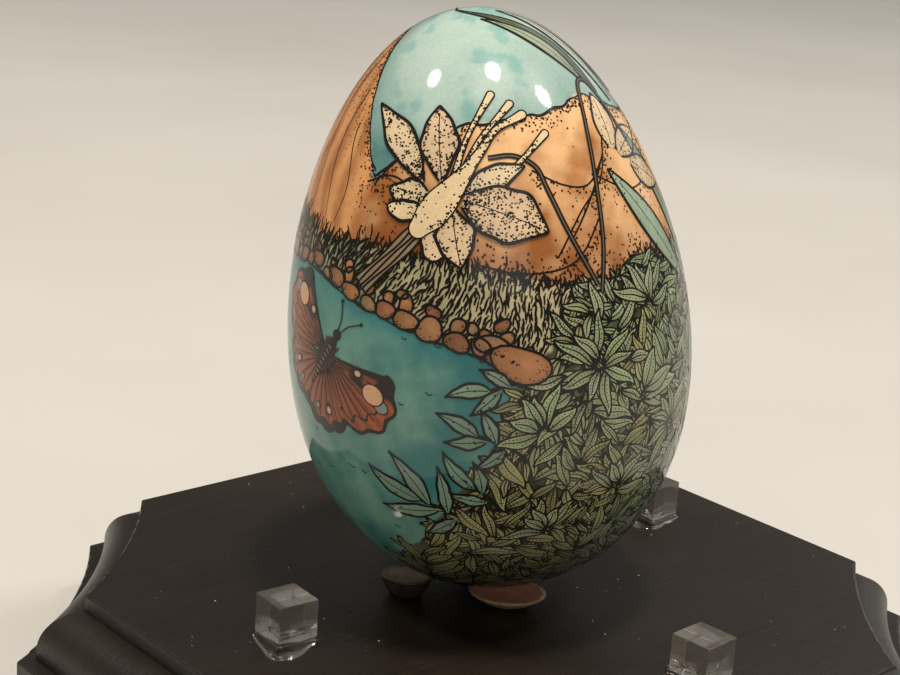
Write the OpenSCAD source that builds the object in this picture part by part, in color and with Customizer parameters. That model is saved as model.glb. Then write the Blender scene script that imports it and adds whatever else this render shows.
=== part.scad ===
// Painted goose egg standing on a routed wooden display board with four clear locating cubes.
// Millimetres, +Z up. Origin: centre of the board's underside.

/* [Egg] */
// Length of the egg along its own axis
egg_length = 85.5; // [75:0.5:95]
// Greatest width of the egg
egg_width = 59.2; // [50:0.5:66]
// How far the widest part sits towards the blunt end
egg_shift = 6.8; // [0:0.1:10]
// Thickness of the shell
shell_wall = 0.6; // [0.5:0.1:1.2]
// Lean of the egg's axis from upright, in degrees
egg_lean = 7.5; // [0:0.5:12]
// Compass direction of the lean, in degrees from +X
lean_dir = 128; // [0:1:359]
// Blunt pole of the egg, X position
pole_x = -0.7; // [-5:0.1:5]
// Blunt pole of the egg, Y position
pole_y = -2.65; // [-5:0.05:5]
// Height of the blunt pole over the board's top
pole_z = 2.1; // [1.5:0.05:4]
// Radius of the blow hole under the egg
blow_hole_r = 1.25; // [0.8:0.05:2.5]
// Thickness of the filler in the blow hole
plug_thick = 0.7; // [0.5:0.1:2]

/* [Board] */
// Overall width of the board
board_w = 127; // [100:1:160]
// Overall thickness of the board
board_h = 19; // [12:0.5:25]
// Width of the flat top
top_w = 110; // [80:1:140]
// Depth of the small upright step under the top
top_step = 2.75; // [1:0.25:5]
// Radius of the quarter-round under the step
ovolo_r = 6.1; // [3:0.1:8]
// Small upright fillet under the quarter-round
ovolo_foot = 1.35; // [0:0.05:3]
// Rounding of the sharp top edges
arris_r = 0.5; // [0.2:0.1:1]
// How much of each side of the top is cut away at a corner
corner_cut = 26.5; // [15:0.5:35]
// Radius of the shallow hollow corner
corner_r = 104; // [60:1:200]

/* [Feet] */
// Outer radius of the front foot at its rim
foot_front_r = 5.9; // [4:0.1:8]
// Outer radius of the left foot at its rim
foot_left_r = 4; // [3:0.1:8]
// Outer radius of the back foot at its rim
foot_back_r = 5.2; // [4:0.1:8]
// Radius of a foot where it stands on the board
foot_base_r = 2.4; // [1.5:0.1:4]
// Wall thickness of a foot
foot_wall = 0.8; // [0.5:0.1:1.5]
// Rim height of the front foot
foot_front_h = 1.85; // [1:0.05:3]
// Rim height of the left foot
foot_left_h = 3; // [1:0.05:3.5]
// Rim height of the back foot
foot_back_h = 1.95; // [1:0.05:3]

/* [Locating cubes] */
// Edge of a clear cube
cube_edge = 6.35; // [5:0.05:10]
// Height of the glue bead round a cube
bead_h = 0.9; // [0.4:0.1:2]
// Radius of the main glue bead
bead_r = 5.0; // [4.5:0.1:7]

/* [Hidden] */
profile_steps = 34;
egg_fn = 72;
arc_fn = 180;
round_fn = 48;
bead_fn = 40;
half_top = top_w / 2;
half_board = board_w / 2;
ovolo_top = board_h - top_step;
ovolo_mid = ovolo_top - ovolo_r;
ledge_z = ovolo_mid - ovolo_foot;
// Centre of the circle that cuts each corner, on the diagonal
chord_half = corner_cut * sqrt(2) / 2;
corner_reach = sqrt(corner_r * corner_r - chord_half * chord_half);
corner_c = half_top - corner_cut / 2 + corner_reach / sqrt(2);
// Foot places: X, Y, rim height
front_at = [-4.6, -8.0];
left_at = [-15.1, 3];
back_at = [4.4, 5.4];
// Cube places: X, Y, turn in degrees
w_at = [-38.9, 1.2, -4];
s_at = [1.7, -40.7, 3];
e_at = [40.2, 3.7, 3];
n_at = [6, 42, -2];
// Second lobe of each glue bead: direction in degrees, distance from the cube, radius
w_lobe = [215, 2.6, 4.2];
s_lobe = [170, 2.2, 3.9];
e_lobe = [205, 2.8, 3.8];
n_lobe = [240, 2.4, 3.9];
// How much lower the second lobe is than the first
lobe_low = 0.9;
// How far the plug is set back from the blunt pole
plug_set = 0.05;
// Length of the cutter that opens the blow hole, and how far it reaches out of the shell
hole_cut = 3;
hole_out = 1;

// Half width of an egg of length l and width b at height h over its blunt pole
function egg_half(l, b, w, h) =
    let (x = h - l / 2)
    b / 2 * sqrt(max(0, l * l - 4 * x * x) / (l * l + 8 * w * x + 4 * w * w));

function egg_outline(l, b, w, n) =
    [for (i = [0 : n])
        let (h = l / 2 * (1 - cos(180 * i / n)))
        [(i == 0 || i == n) ? 0 : egg_half(l, b, w, h), h]];

// One half of the board's cross-section, from its middle outwards
module half_profile() {
    square([half_board, ledge_z - arris_r]);
    square([half_board - arris_r, ledge_z]);
    translate([half_board - arris_r, ledge_z - arris_r])
        circle(r = arris_r, $fn = round_fn);
    square([half_top + ovolo_r, ovolo_mid]);
    square([half_top, ovolo_top]);
    translate([half_top, ovolo_mid])
        circle(r = ovolo_r, $fn = round_fn);
    square([half_top, board_h - arris_r]);
    square([half_top - arris_r, board_h]);
    translate([half_top - arris_r, board_h - arris_r])
        circle(r = arris_r, $fn = round_fn);
}

module full_bar() {
    rotate([90, 0, 0])
        linear_extrude(height = board_w + 2, center = true)
            union() {
                half_profile();
                mirror([1, 0])
                    half_profile();
            }
}

// The board's edge profile turned round a point, as a cutter for one hollow corner
module corner_cutter() {
    rotate_extrude($fn = arc_fn)
        difference() {
            translate([0, -1])
                square([corner_r + 4, board_h + 2]);
            translate([corner_r + half_top, 0])
                mirror([1, 0])
                    half_profile();
        }
}

module base_board() {
    color([0.035, 0.03, 0.028])
        difference() {
            intersection() {
                full_bar();
                rotate([0, 0, 90])
                    full_bar();
            }
            for (a = [0 : 90 : 270])
                rotate([0, 0, a])
                    translate([corner_c, corner_c, 0])
                        corner_cutter();
        }
}

// Puts the egg's own frame (blunt pole at the origin, axis +Z) in its leaning place
module egg_place() {
    translate([pole_x, pole_y, board_h + pole_z])
        rotate([0, 0, lean_dir])
            rotate([0, egg_lean, 0])
                children();
}

module egg_shell() {
    color([0.55, 0.68, 0.60])
        egg_place()
            difference() {
                rotate_extrude($fn = egg_fn)
                    difference() {
                        polygon(egg_outline(egg_length, egg_width, egg_shift, profile_steps));
                        translate([0, shell_wall])
                            polygon(egg_outline(egg_length - 2 * shell_wall, egg_width - 2 * shell_wall,
                                                egg_shift, profile_steps));
                    }
                translate([0, 0, -hole_out])
                    cylinder(r = blow_hole_r, h = hole_cut, $fn = round_fn);
            }
}

module blow_hole_plug() {
    color([0.86, 0.82, 0.72])
        egg_place()
            translate([0, 0, plug_set])
                cylinder(r = blow_hole_r, h = plug_thick, $fn = round_fn);
}

// A shallow dish cut from a ball: r is its rim radius and h its rim height
module dish(at, r, h) {
    zc = (r * r - foot_base_r * foot_base_r + h * h) / (2 * h);
    ro = sqrt(foot_base_r * foot_base_r + zc * zc);
    translate([at[0], at[1], board_h])
        rotate_extrude($fn = 64)
            difference() {
                intersection() {
                    translate([0, zc])
                        circle(r = ro, $fn = 240);
                    square([r + 1, h]);
                }
                translate([0, zc])
                    circle(r = ro - foot_wall, $fn = 240);
            }
}

module foot_front() {
    color([0.72, 0.42, 0.30])
        dish(front_at, foot_front_r, foot_front_h);
}

module foot_left() {
    color([0.72, 0.66, 0.55])
        dish(left_at, foot_left_r, foot_left_h);
}

module foot_back() {
    color([0.70, 0.52, 0.40])
        dish(back_at, foot_back_r, foot_back_h);
}

module locating_cube(at) {
    translate([at[0], at[1], board_h])
        rotate([0, 0, at[2]])
            translate([-cube_edge / 2, -cube_edge / 2, 0])
                cube(cube_edge);
}

// A low puddle of clear glue round a cube, with a second lobe to one side
module bead(at, lobe) {
    difference() {
        union() {
            translate([at[0], at[1], board_h])
                puddle(bead_r, bead_h);
            translate([at[0] + lobe[1] * cos(lobe[0]), at[1] + lobe[1] * sin(lobe[0]), board_h])
                puddle(lobe[2], bead_h * lobe_low);
        }
        locating_cube(at);
    }
}

module puddle(r, h) {
    ball = (r * r + h * h) / (2 * h);
    rotate_extrude($fn = bead_fn)
        intersection() {
            translate([0, h - ball])
                circle(r = ball, $fn = 480);
            square([r + 1, h + 1]);
        }
}

module cube_w() {
    color([0.86, 0.86, 0.82, 0.4])
        locating_cube(w_at);
}

module cube_s() {
    color([0.86, 0.86, 0.82, 0.4])
        locating_cube(s_at);
}

module cube_e() {
    color([0.86, 0.86, 0.82, 0.4])
        locating_cube(e_at);
}

module cube_n() {
    color([0.86, 0.86, 0.82, 0.4])
        locating_cube(n_at);
}

module bead_w() {
    color([0.80, 0.78, 0.70, 0.5])
        bead(w_at, w_lobe);
}

module bead_s() {
    color([0.80, 0.78, 0.70, 0.5])
        bead(s_at, s_lobe);
}

module bead_e() {
    color([0.80, 0.78, 0.70, 0.5])
        bead(e_at, e_lobe);
}

module bead_n() {
    color([0.80, 0.78, 0.70, 0.5])
        bead(n_at, n_lobe);
}

base_board();
egg_shell();
blow_hole_plug();
foot_front();
foot_left();
foot_back();
cube_w();
cube_s();
cube_e();
cube_n();
bead_w();
bead_s();
bead_e();
bead_n();
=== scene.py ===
import math

import bmesh
import bpy
import numpy as np
from mathutils import Matrix, Vector


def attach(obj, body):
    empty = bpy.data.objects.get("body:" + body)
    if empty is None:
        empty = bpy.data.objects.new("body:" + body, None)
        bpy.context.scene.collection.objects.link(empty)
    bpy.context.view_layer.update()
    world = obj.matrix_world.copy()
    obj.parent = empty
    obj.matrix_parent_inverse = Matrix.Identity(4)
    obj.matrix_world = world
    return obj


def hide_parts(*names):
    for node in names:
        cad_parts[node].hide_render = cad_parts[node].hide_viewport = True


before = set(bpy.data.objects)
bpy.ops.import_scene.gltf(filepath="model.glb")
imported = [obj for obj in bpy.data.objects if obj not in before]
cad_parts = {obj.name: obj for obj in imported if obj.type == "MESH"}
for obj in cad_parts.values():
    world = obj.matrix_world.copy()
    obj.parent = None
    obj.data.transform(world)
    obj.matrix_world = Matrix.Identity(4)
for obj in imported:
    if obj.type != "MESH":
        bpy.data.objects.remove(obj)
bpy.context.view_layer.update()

rng = np.random.default_rng(11)
MM = 0.001
TAU = 2 * math.pi
deg = math.radians                 # so that deg(90) reads as 90 degrees

# ---- sizes, in mm, the same as the solids
TOP = 19.0
EGG_L, EGG_B, EGG_W = 85.5, 59.2, 6.8
LEAN, LEAN_DIR = deg(7.5), deg(128)
POLE = np.array([-0.7, -2.65, TOP + 2.1])
HOLE_R = 1.25
FRONT = deg(100)                   # the side of the egg that faces the viewer, in its own frame
CUBE = 6.35
CUBES = {"w": (-38.9, 1.2, -4), "s": (1.7, -40.7, 3), "e": (40.2, 3.7, 3), "n": (6.0, 42.0, -2)}
FEET = {"front": (-4.6, -8.0, 5.9, 1.85), "left": (-15.1, 3.0, 4.0, 3.0), "back": (4.4, 5.4, 5.2, 1.95)}
LIE = TOP + 0.004                  # just over the board, for what lies on it
COAT, SPECK = 0.006, 0.010         # how far ink, and a dot of ink, lie over the paint under them

# ---- the egg's surface
_h = EGG_L / 2 * (1 - np.cos(np.linspace(0, math.pi, 1601)))
_x = _h - EGG_L / 2
_across = np.maximum(EGG_L ** 2 - 4 * _x ** 2, 0) / (EGG_L ** 2 + 8 * EGG_W * _x + 4 * EGG_W ** 2)
_r = EGG_B / 2 * np.sqrt(_across)
_s = np.concatenate([[0], np.cumsum(np.hypot(np.diff(_h), np.diff(_r)))])
S_MAX = float(_s[-1])
_dr, _dh = np.gradient(_r, _s), np.gradient(_h, _s)
_k = np.hypot(_dr, _dh)
_nr, _nh = _dh / _k, -_dr / _k
ca, sa = math.cos(LEAN), math.sin(LEAN)
cz, sz = math.cos(LEAN_DIR), math.sin(LEAN_DIR)
TURN = np.array([[cz, -sz, 0], [sz, cz, 0], [0, 0, 1]]) @ np.array([[ca, 0, sa], [0, 1, 0], [-sa, 0, ca]])


def radius(s):
    """The egg's radius at s, kept over 0.6 mm so that it can be divided by."""
    return np.maximum(np.interp(s, _s, _r), 0.6)


def surface(phi, s, off=0.0):
    """World place in mm, and normal, of the point phi round from the front and s from the blunt pole."""
    phi, s = np.asarray(phi, float), np.clip(np.asarray(s, float), 0, S_MAX)
    a = FRONT + phi
    r, h = np.interp(s, _s, _r), np.interp(s, _s, _h)
    nr, nh = np.interp(s, _s, _nr), np.interp(s, _s, _nh)
    n = np.stack([nr * np.cos(a), nr * np.sin(a), nh], -1)
    p = np.stack([r * np.cos(a), r * np.sin(a), h], -1) + n * np.asarray(off)[..., None]
    return p @ TURN.T + POLE, n @ TURN.T


def at(c, xy):
    """Points drawn in mm round a centre c = (degrees, s), as (phi, s)."""
    xy = np.atleast_2d(np.asarray(xy, float))
    s = c[1] + xy[..., 1]
    return np.stack([deg(c[0]) + xy[..., 0] / radius(s), s], -1)


def polar(a, r=1.0):
    """The 2-D point or points at distance r in direction a."""
    return np.stack([r * np.cos(a), r * np.sin(a)], -1)


def turned(xy, angle):
    """2-D points turned round the origin."""
    x, y = np.moveaxis(np.asarray(xy, float), -1, 0)
    c, s = math.cos(angle), math.sin(angle)
    return np.stack([x * c - y * s, x * s + y * c], -1)


def spline(pts, n):
    """n points of a smooth curve through pts."""
    p = np.asarray(pts, float)
    q = np.vstack([2 * p[0] - p[1], p, 2 * p[-1] - p[-2]])
    t = np.linspace(0, len(p) - 1, n)
    i = np.minimum(t.astype(int), len(p) - 2)
    u = (t - i)[:, None]
    a, b, c, d = q[i], q[i + 1], q[i + 2], q[i + 3]
    square, cube = (2 * a - 5 * b + 4 * c - d) * u ** 2, (3 * b - a - 3 * c + d) * u ** 3
    return 0.5 * (2 * b + (c - a) * u + square + cube)


def sample(x, t, v):
    """The 2-D points v, which belong to t, taken at x."""
    return np.stack([np.interp(x, t, v[:, k]) for k in (0, 1)], -1)


def across(q):
    """Unit normals of a 2-D line."""
    d = np.gradient(q, axis=0)
    d /= np.linalg.norm(d, axis=1)[:, None]
    return np.stack([-d[:, 1], d[:, 0]], 1)


def noise(p, scale, seed, octaves=3):
    """Smooth seeded noise in 3-D from summed waves, about -1 to 1."""
    g = np.random.default_rng(seed)
    out, amp, total = 0.0, 1.0, 0.0
    for _ in range(octaves):
        for _ in range(6):
            d = g.normal(size=3)
            d *= (TAU / scale) * g.uniform(0.6, 1.5) / np.linalg.norm(d)
            out = out + amp * np.sin(p @ d + g.uniform(0, TAU) + 1.3 * np.sin(p @ d[[1, 2, 0]] * 0.7))
        total += amp * 2.2
        amp, scale = amp * 0.55, scale * 0.5
    return out / total


# ---- layout of the scene, degrees and mm
def degrees_round(phi):
    """An angle in degrees, from -180 to 180."""
    return (np.degrees(phi) + 180) % 360 - 180


def ring(points):
    """A line round the egg as a function of phi, from (degrees, mm) points."""
    a = np.array(points, float)
    a = np.vstack([a, a[0] + [360, 0]])
    a = np.vstack([a[-2] - [360, 0], a])
    return lambda phi: np.interp(degrees_round(phi), a[:, 0], a[:, 1])


RIDGE = ring([(-178, 91), (-150, 97), (-120, 103), (-95, 107), (-75, 105), (-57, 97), (-42, 86), (-38, 82),
              (-30, 85), (-4, 90), (20, 90.5), (36, 91), (52, 93), (66, 90), (85, 88), (105, 93),
              (130, 98), (155, 93)])
GRASS = ring([(-178, 69), (-140, 71), (-100, 75), (-75, 76), (-59, 74), (-35, 73.5), (-10, 71.5), (10, 69),
              (22, 67), (35, 67), (50, 69), (70, 68), (100, 66), (130, 70), (160, 67)])
BANK = ring([(-178, 55), (-150, 60), (-120, 66), (-90, 70), (-58, 70), (-38, 66.2), (-20, 62.9), (-2, 59.5),
             (8, 57), (20, 54), (40, 50), (140, 50)])


def leafy_edge(s):
    """Where the foliage begins on the right of the water, in degrees."""
    return np.interp(s, [0, 8, 18, 26, 31, 37, 42, 47, 52, 56, 59, 64],
                     [-178, -100, -62, -38, -24, -15, -6, 0, 3, 8, 16, 24])


def leafy_back(s):
    """Where the foliage ends at the back of the water, in degrees."""
    return np.interp(s, [0, 8, 20, 40, 60, 66], [-178, -110, -128, -150, -162, -172])


def zone(phi, s):
    """0 sky, 1 hill, 2 grass, 3 water, 4 foliage."""
    d = degrees_round(phi)
    z = np.full(np.shape(s), 3)
    z = np.where((d > leafy_edge(s)) | (d < leafy_back(s)), 4, z)
    z = np.where((s > BANK(phi)) & (d < leafy_edge(s)) & (d > leafy_back(s)), 2, z)
    z = np.where(s > GRASS(phi), 1, z)
    return np.where(s > RIDGE(phi), 0, z)


INK = (0.012, 0.009, 0.006)
CREAM = (0.90, 0.66, 0.40)
STONE = (0.33, 0.155, 0.07)


def tint(c, spread=0.12):
    """A colour near c, a little lighter or darker and a little off its hue."""
    light = 1 + rng.uniform(-spread, spread)
    return tuple(np.clip(np.array(c) * light * (1 + rng.normal(0, spread / 3, 3)), 0, 1))


class Art:
    """Collects painted patches that lie on the egg, and turns them into one mesh."""

    def __init__(self):
        self.ps, self.off, self.col, self.quads, self.tris, self.n = [], [], [], [], [], 0

    def _add(self, ps, off, col):
        """Keeps points and says which number the first one has."""
        ps = np.asarray(ps, float).reshape(-1, 2)
        self.ps.append(ps)
        self.off.append(np.full(len(ps), off))
        self.col.append(np.broadcast_to(np.asarray(col, float), (len(ps), 3)))
        first = self.n
        self.n += len(ps)
        return first

    def grid(self, g, off, col):
        """A patch from an n by m grid of (phi, s) points."""
        n, m = g.shape[:2]
        if np.ndim(col) == 3:
            col = np.asarray(col).reshape(-1, 3)
        k = self._add(g, off, col)
        i, j = np.meshgrid(np.arange(n - 1), np.arange(m - 1), indexing="ij")
        a = k + (i * m + j).ravel()
        self.quads.append(np.stack([a, a + 1, a + m + 1, a + m], 1))

    def ribbon(self, ps, width, off, col=INK, closed=False, cols=2):
        """A band of the given width in mm along (phi, s) points."""
        ps = np.asarray(ps, float)
        r = radius(ps[:, 1])
        d = np.gradient(ps, axis=0)
        if closed:
            d = np.roll(ps, -1, 0) - np.roll(ps, 1, 0)
            d[0] = d[-1] = ps[1] - ps[-2]
        dx, dy = d[:, 0] * r, d[:, 1]
        k = np.maximum(np.hypot(dx, dy), 1e-9)
        nx, ny = -dy / k, dx / k
        w = np.broadcast_to(np.asarray(width, float) / 2, r.shape)
        side = np.stack([nx * w / r, ny * w], 1)
        self.grid(ps[:, None] + side[:, None] * np.linspace(-1, 1, cols)[None, :, None], off, col)

    def stroke(self, c, xy, width, off, col=INK, n=14):
        """A pen stroke that thins towards both ends."""
        q = spline(xy, n) if len(xy) > 2 else np.linspace(xy[0], xy[1], max(4, n // 2))
        t = np.linspace(0, 1, len(q))
        w = width * (0.35 + 0.65 * np.sin(math.pi * np.clip(t * 0.92 + 0.06, 0, 1)) ** 0.5)
        self.ribbon(at(c, q), w, off, col)

    def disc(self, c, r, off, col=INK, n=9, squash=1.0, turn=0.0):
        """An ellipse round c = (degrees, s)."""
        t = np.arange(n) * TAU / n
        xy = turned(polar(t, r) * (1, squash), turn)
        k = self._add(np.vstack([at(c, [[0, 0]]), at(c, xy)]), off, col)
        i = np.arange(n)
        self.tris.append(np.stack([np.full(n, k), k + 1 + i, k + 1 + (i + 1) % n], 1))

    def dot(self, p, r, off, col=INK, n=6):
        """A disc round p = (phi, s)."""
        self.disc((math.degrees(p[0]), p[1]), r, off, col, n=n)

    def build(self, name, material):
        """Makes one mesh that rides on the egg, with every face turned outwards."""
        ps, off, col = np.vstack(self.ps), np.concatenate(self.off), np.vstack(self.col)
        p, n = surface(ps[:, 0], ps[:, 1], off)
        faces = []
        for group in (np.vstack(g) for g in (self.quads, self.tris) if g):
            one, two = p[group[:, 2]] - p[group[:, 0]], p[group[:, -1]] - p[group[:, 1]]
            inward = (np.cross(one, two) * n[group[:, 0]]).sum(1) < 0
            group[inward] = group[inward][:, ::-1]
            faces += group.tolist()
        make_mesh(name, p, faces, material, "egg", col, n)


def put(name, data):
    """A new object in the scene."""
    o = bpy.data.objects.new(name, data)
    bpy.context.scene.collection.objects.link(o)
    return o


def piece(name, me, material, body):
    """A mesh as a piece that rides on a body."""
    me.materials.append(material)
    o = put(name, me)
    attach(o, body)
    return o


def make_mesh(name, points_mm, faces, material, body, colour=None, normals=None):
    """A smooth-shaded piece that rides on a body, with a colour and a normal for each point."""
    me = bpy.data.meshes.new(name)
    me.from_pydata((np.asarray(points_mm) * MM).tolist(), [], faces)
    if colour is not None:
        a = me.color_attributes.new("paint", "FLOAT_COLOR", "POINT")
        rgba = np.concatenate([np.asarray(colour), np.ones((len(colour), 1))], 1)
        a.data.foreach_set("color", rgba.astype(np.float32).ravel())
    me.polygons.foreach_set("use_smooth", [True] * len(me.polygons))
    me.update()
    if normals is not None:
        me.normals_split_custom_set_from_vertices(np.asarray(normals).tolist())
    return piece(name, me, material, body)


def wall_faces(rows, n, closed=False):
    """Quads between rows of n points, and from the last row to the first where closed."""
    return [[i * n + j, i * n + (j + 1) % n, (i + 1) % rows * n + (j + 1) % n, (i + 1) % rows * n + j]
            for i in range(rows if closed else rows - 1) for j in range(n)]


# ---- materials
class Mat:
    """A Principled material and the few nodes that this script uses."""

    def __init__(self, name, **values):
        self.m = bpy.data.materials.new(name)
        self.m.use_nodes = True
        self.t = self.m.node_tree
        self.b = self.t.nodes["Principled BSDF"]
        self.fill(self.b, values)
        self.co = self.t.nodes.new("ShaderNodeTexCoord").outputs["Object"]

    def fill(self, n, values):
        for k, v in values.items():
            n.inputs[k.replace("_", " ")].default_value = v

    def node(self, kind, links, **values):
        """The outputs of a new node, with links into its sockets and values on them."""
        n = self.t.nodes.new(kind)
        self.fill(n, values)
        for k, v in links.items():
            self.link(v, n.inputs[k])
        return n.outputs

    def link(self, a, b):
        self.t.links.new(a, b)

    def mapped(self, scale, turn):
        return self.node("ShaderNodeMapping", {"Vector": self.co}, Scale=scale, Rotation=turn)["Vector"]

    def noise(self, scale, detail=4.0, rough=0.55, vector=None, distort=0.0):
        return self.node("ShaderNodeTexNoise", {"Vector": vector or self.co}, Scale=scale, Detail=detail,
                         Roughness=rough, Distortion=distort)["Fac"]

    def paint(self):
        """The colour that the mesh itself holds."""
        n = self.t.nodes.new("ShaderNodeVertexColor")
        n.layer_name = "paint"
        return n.outputs["Color"]

    def ramp(self, fac, *colours, places=(0.3, 0.7)):
        n = self.t.nodes.new("ShaderNodeValToRGB")
        e = n.color_ramp.elements
        while len(e) < len(colours):
            e.new(0.5)
        for i, (p, c) in enumerate(zip(places, colours)):
            e[i].position = p
            e[i].color = (*c, 1.0)
        self.link(fac, n.inputs["Fac"])
        return n.outputs["Color"]

    def mix(self, fac, a, b, mode="MIX"):
        n = self.t.nodes.new("ShaderNodeMix")
        n.data_type = "RGBA"
        n.blend_type = mode
        n.inputs[0].default_value = fac
        self.link(a, n.inputs[6])
        self.link(b, n.inputs[7])
        return n.outputs[2]

    def bump(self, height, strength, distance, into="Normal"):
        out = self.node("ShaderNodeBump", {"Height": height}, Strength=strength, Distance=distance)
        self.link(out["Normal"], self.b.inputs[into])

    def colour(self, c):
        self.link(c, self.b.inputs["Base Color"])


def painted(name, spread, rough=0.45):
    """Colour from the mesh, broken up by pigment grain, under a glossy brushed varnish."""
    m = Mat(name, Roughness=rough, Coat_Weight=0.8, Coat_Roughness=0.07, Coat_IOR=1.42,
            Specular_IOR_Level=0.1)
    grain = m.ramp(m.noise(2600.0, 5.0, 0.6), (1 - spread,) * 3, (1 + spread * 0.6,) * 3)
    dark = (1 - spread * 1.2, 1 - spread, 1 - spread)
    pool = m.ramp(m.noise(240.0, 4.0, 0.6, distort=0.6), dark, (1.0, 1.0, 1.0))
    m.colour(m.mix(1.0, m.mix(1.0, m.paint(), grain, "MULTIPLY"), pool, "MULTIPLY"))
    m.bump(m.noise(650.0, 4.0, 0.6), 0.17, 0.0001, "Coat Normal")
    m.bump(m.noise(1500.0, 3.0, 0.6), 0.10, 0.00005)
    return m.m


PAINT = painted("egg_paint", 0.10)
PATCH = painted("paint_patches", 0.14)
INKED = painted("ink_lines", 0.25, rough=0.5)


def board_paint():
    """Near-black satin paint over wood grain."""
    m = Mat("board_paint", Roughness=0.36, Coat_Weight=0.12, Coat_Roughness=0.3, IOR=1.43)
    fibre = m.noise(60.0, 6.0, 0.62, m.mapped((1.0, 14.0, 6.0), (0, 0, 0.09)), 0.5)
    pore = m.noise(190.0, 5.0, 0.7, m.mapped((1.0, 22.0, 8.0), (0, 0, 0.09)))
    blot = m.noise(28.0, 3.0, 0.5)
    base = m.ramp(fibre, (0.0085, 0.0052, 0.0028), (0.0155, 0.0098, 0.0054), (0.026, 0.017, 0.0098),
                  places=(0.25, 0.55, 0.8))
    worn = m.ramp(blot, (0.009, 0.0065, 0.004), (0.026, 0.019, 0.0125))
    m.colour(m.mix(0.35, base, worn))
    rough = m.node("ShaderNodeMapRange", {"Value": blot}, From_Min=0.3, From_Max=0.7, To_Min=0.30,
                   To_Max=0.46)
    m.link(rough["Result"], m.b.inputs["Roughness"])
    grain = m.node("ShaderNodeMath", {0: fibre, 1: pore})          # their sum
    m.bump(grain["Value"], 0.35, 0.00018)
    return m.m


def acrylic(name, tone, clear):
    """Clear plastic, slightly tinted."""
    m = Mat(name, Transmission_Weight=clear, IOR=1.49, Roughness=0.06)
    m.colour(m.ramp(m.noise(300.0, 3.0), tuple(0.94 * c for c in tone), tone))
    m.bump(m.noise(500.0, 3.0), 0.10, 0.00008)
    return m.m


def foot_shell():
    """Polished shell. The mesh's colour carries the inside and outside tones; the left foot's near-black
    outside tone is painted shade.
    """
    m = Mat("foot_shell", Roughness=0.42, Coat_Weight=0.18, Coat_Roughness=0.15, Specular_IOR_Level=0.3)
    mottle = m.ramp(m.noise(900.0, 5.0, 0.65), (0.78, 0.74, 0.70), (1.08, 1.05, 1.0))
    m.colour(m.mix(1.0, m.paint(), mottle, "MULTIPLY"))
    m.bump(m.noise(1400.0, 4.0), 0.2, 0.00008)
    return m.m


BOARD = board_paint()
ACRYLIC = acrylic("clear_acrylic", (0.90, 0.84, 0.75), 0.95)
GLUE = acrylic("clear_glue", (0.93, 0.87, 0.76), 1.0)
SHELL = foot_shell()


# ---- the egg and its washes
def washes(phi, s, p):
    """The colour of every point of the shell: watery washes, one for each zone."""
    z = zone(phi, s)
    n1, n2, n3 = noise(p, 26, 1), noise(p, 9, 2), noise(p, 44, 3)
    d = degrees_round(phi)

    def blend(a, b, t):
        t = np.clip(t, 0, 1)[:, None]
        return np.array(a) * (1 - t) + np.array(b) * t

    def dim(c, f, by):
        return c * (1 - f[:, None] * np.array(by))

    up = np.clip((s - RIDGE(phi)) / 16, 0, 1)
    bright = 0.15 + 0.25 * np.clip((d + 10) / 40, 0, 1)
    sky = blend((0.20, 0.36, 0.33), (0.47, 0.61, 0.53), up * 1.1 + 0.30 * n1 + bright)
    spots = np.clip(n2 - 0.10, 0, 0.45) ** 1.5 * 1.2
    sky = dim(sky, spots, (0.95, 0.42, 0.34))
    notch = np.exp(-((d + 36) / 9) ** 2 - ((s - 86) / 6) ** 2)
    sky = dim(sky, notch, (0.62, 0.42, 0.4))
    lit = 0.40 + 0.012 * np.clip(d, -40, 50) + 0.02 * np.clip(s - 80, -8, 12)
    hill = blend((0.42, 0.15, 0.038), (0.95, 0.56, 0.27), lit + 0.50 * n1 + 0.38 * n2)
    low = np.exp(-np.clip(s - GRASS(phi), 0, 30) / 4.0)
    hill = dim(hill, low, (0.40, 0.50, 0.52))
    streaks = 0.5 + 0.5 * np.sin(d * 0.55 + 2 * n1) + 0.3 * n2
    cliff = blend((0.48, 0.19, 0.062), (0.80, 0.38, 0.147), streaks)
    hill = np.where(((d < -38) & (d > -125))[:, None], cliff, hill)
    grass = blend((0.28, 0.25, 0.135), (0.58, 0.49, 0.28), (d + 75) / 90 + 0.35 * n2)
    meadow = blend((0.24, 0.26, 0.14), (0.42, 0.40, 0.23), 0.5 + 0.7 * n2)
    grass = np.where((np.abs(d) > 35)[:, None], meadow, grass)
    deep = np.exp(-np.clip(BANK(phi) - s, 0, 60) / 4.5)
    water = blend((0.048, 0.215, 0.205), (0.19, 0.37, 0.29), 0.45 + 0.7 * n3 + 0.45 * n2)
    water = dim(water, deep, (0.88, 0.36, 0.20))
    leafy = blend((0.028, 0.032, 0.017), (0.12, 0.13, 0.075), 0.4 + n2)
    c = np.select([(z == k)[:, None] for k in range(5)], [sky, hill, grass, water, leafy])
    return np.clip(c, 0.004, 0.95)


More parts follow.
